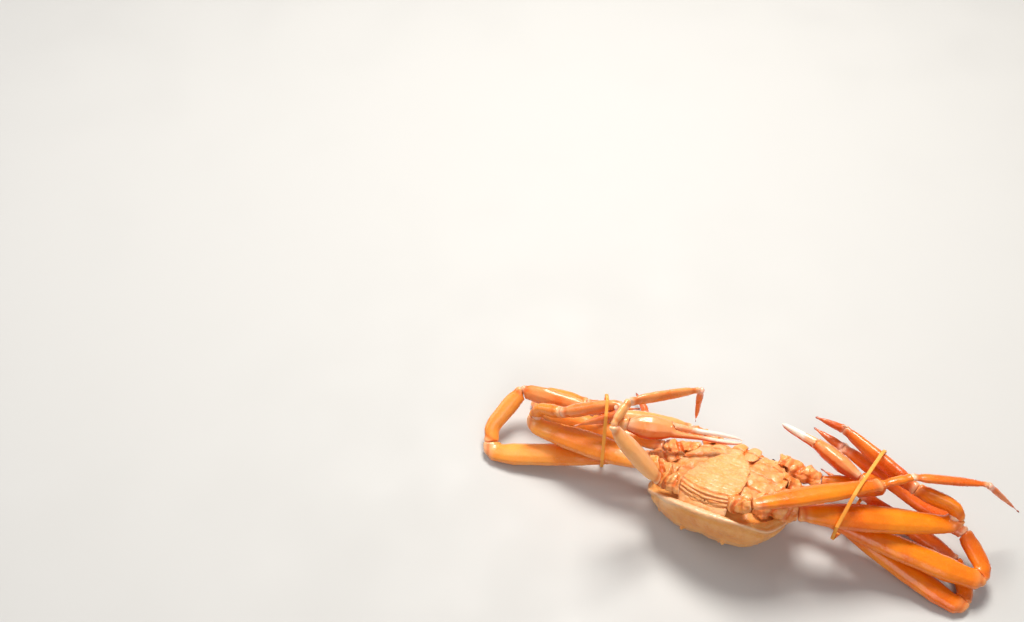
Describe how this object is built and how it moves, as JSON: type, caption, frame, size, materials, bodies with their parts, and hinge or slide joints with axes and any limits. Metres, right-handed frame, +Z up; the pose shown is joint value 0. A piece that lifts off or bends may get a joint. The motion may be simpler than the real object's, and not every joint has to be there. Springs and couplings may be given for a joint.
{
  "type": "cooked red snow crab model",
  "caption": "Cooked snow crab lying on its back, belly up, its long legs folded at the knees and gathered by a thin rubber band into a bundle on each side.",
  "frame": {"origin": "middle of the bounding box, on the floor the animal lies on", "axes": "+X along the two leg bundles, to the right seen from the tail end, +Y toward the mouth, +Z up out of the belly"},
  "size_m": [0.344, 0.1358, 0.1012],
  "materials": {
    "shell_orange": "boiled crab shell: vivid orange, moist and softly glossy",
    "belly_shell": "pale yellow-orange belly shell, knobbly and moist",
    "finger_white": "ivory claw finger with a pink root",
    "eye_dark": "glossy, nearly black",
    "band_rubber": "matt tan rubber"
  },
  "bodies": {
    "root": {"carapace": "shell_orange", "thorax": "belly_shell", "abdomen": "belly_shell", "mouthparts": "belly_shell", "eye_right": "eye_dark", "eye_left": "eye_dark", "antenna_right": "shell_orange", "antenna_left": "shell_orange", "right_claw_base": "belly_shell", "right_claw_merus": "shell_orange", "right_claw_carpus": "shell_orange", "right_claw_palm": "shell_orange", "right_claw_dactyl": "finger_white", "right_leg_2_base": "belly_shell", "right_leg_2_merus": "shell_orange", "right_leg_2_carpus": "shell_orange", "right_leg_2_propodus": "shell_orange", "right_leg_2_dactyl": "shell_orange", "right_leg_3_base": "belly_shell", "right_leg_3_merus": "shell_orange", "right_leg_3_carpus": "shell_orange", "right_leg_3_propodus": "shell_orange", "right_leg_3_dactyl": "shell_orange", "right_leg_4_base": "belly_shell", "right_leg_4_merus": "shell_orange", "right_leg_4_carpus": "shell_orange", "right_leg_4_propodus": "shell_orange", "right_leg_4_dactyl": "shell_orange", "right_leg_5_base": "belly_shell", "right_leg_5_merus": "shell_orange", "right_leg_5_carpus": "shell_orange", "right_leg_5_propodus": "shell_orange", "right_leg_5_dactyl": "shell_orange", "left_claw_base": "belly_shell", "left_claw_merus": "shell_orange", "left_claw_carpus": "shell_orange", "left_claw_palm": "shell_orange", "left_claw_dactyl": "finger_white", "left_leg_2_base": "belly_shell", "left_leg_2_merus": "shell_orange", "left_leg_2_carpus": "shell_orange", "left_leg_2_propodus": "shell_orange", "left_leg_2_dactyl": "shell_orange", "left_leg_3_base": "belly_shell", "left_leg_3_merus": "shell_orange", "left_leg_3_carpus": "shell_orange", "left_leg_3_propodus": "shell_orange", "left_leg_3_dactyl": "shell_orange", "left_leg_4_base": "belly_shell", "left_leg_4_merus": "shell_orange", "left_leg_4_carpus": "shell_orange", "left_leg_4_propodus": "shell_orange", "left_leg_4_dactyl": "shell_orange", "left_leg_5_base": "belly_shell", "left_leg_5_merus": "shell_orange", "left_leg_5_carpus": "shell_orange", "left_leg_5_propodus": "shell_orange", "left_leg_5_dactyl": "shell_orange", "band_right": "band_rubber", "band_left": "band_rubber"}
  },
  "joints": []
}
